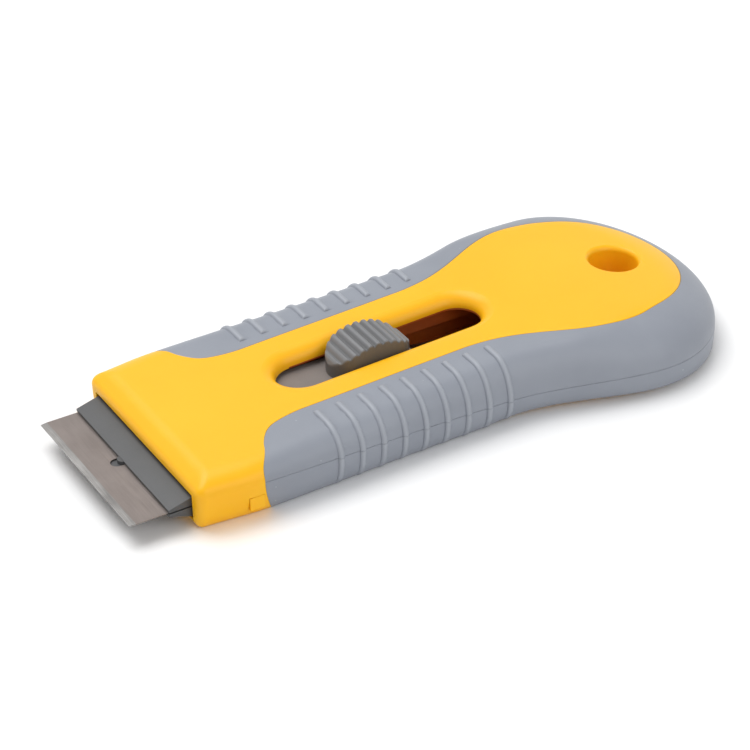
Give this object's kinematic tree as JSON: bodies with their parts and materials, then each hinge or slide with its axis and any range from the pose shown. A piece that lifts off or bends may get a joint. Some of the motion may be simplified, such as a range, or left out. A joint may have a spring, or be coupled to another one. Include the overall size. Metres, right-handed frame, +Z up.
{
  "type": "razor blade scraper",
  "caption": "Hand scraper with a retractable razor blade: two-part handle with soft ribbed grip, sliding blade carriage, sprung thumb button, hinged clamp jaw and hang hole.",
  "frame": {"origin": "middle of the overall box, on the plane it lies on", "axes": "+X from the blade edge to the tail, +Y to the left of someone looking along +X, +Z up out of the top face"},
  "size_m": [0.1368, 0.0598, 0.0152],
  "materials": {
    "shell": "satin moulded yellow",
    "grip": "soft matt blue-grey",
    "carriage": "matt dark grey",
    "button": "matt mid grey",
    "blade": "rolled steel with a ground edge",
    "spring": "tempered strip",
    "steel": "plain zinc"
  },
  "bodies": {
    "handle": {"upper_shell": "shell", "lower_shell": "shell", "upper_grip": "grip", "lower_grip": "grip", "screw_front_left": "steel", "screw_front_right": "steel", "screw_tail": "steel"},
    "carriage": {"slide_carriage": "carriage", "upper_jaw": "carriage", "jaw_hinge_pin": "steel", "razor_blade": "blade", "detent_spring": "spring"},
    "button": {"thumb_button": "button"}
  },
  "joints": [
    {"name": "slide_travel", "type": "slide", "parent": "handle", "child": "carriage", "axis": [-1, 0, 0], "range_m": [-0.0155, 0.008], "deforming": ["detent_spring"]},
    {"name": "button_press", "type": "slide", "parent": "carriage", "child": "button", "axis": [0, 0, -1], "range_m": [0, 0.0008], "stiffness_N_per_m": 900, "springref_m": -0.0006, "deforming": ["detent_spring"]}
  ]
}
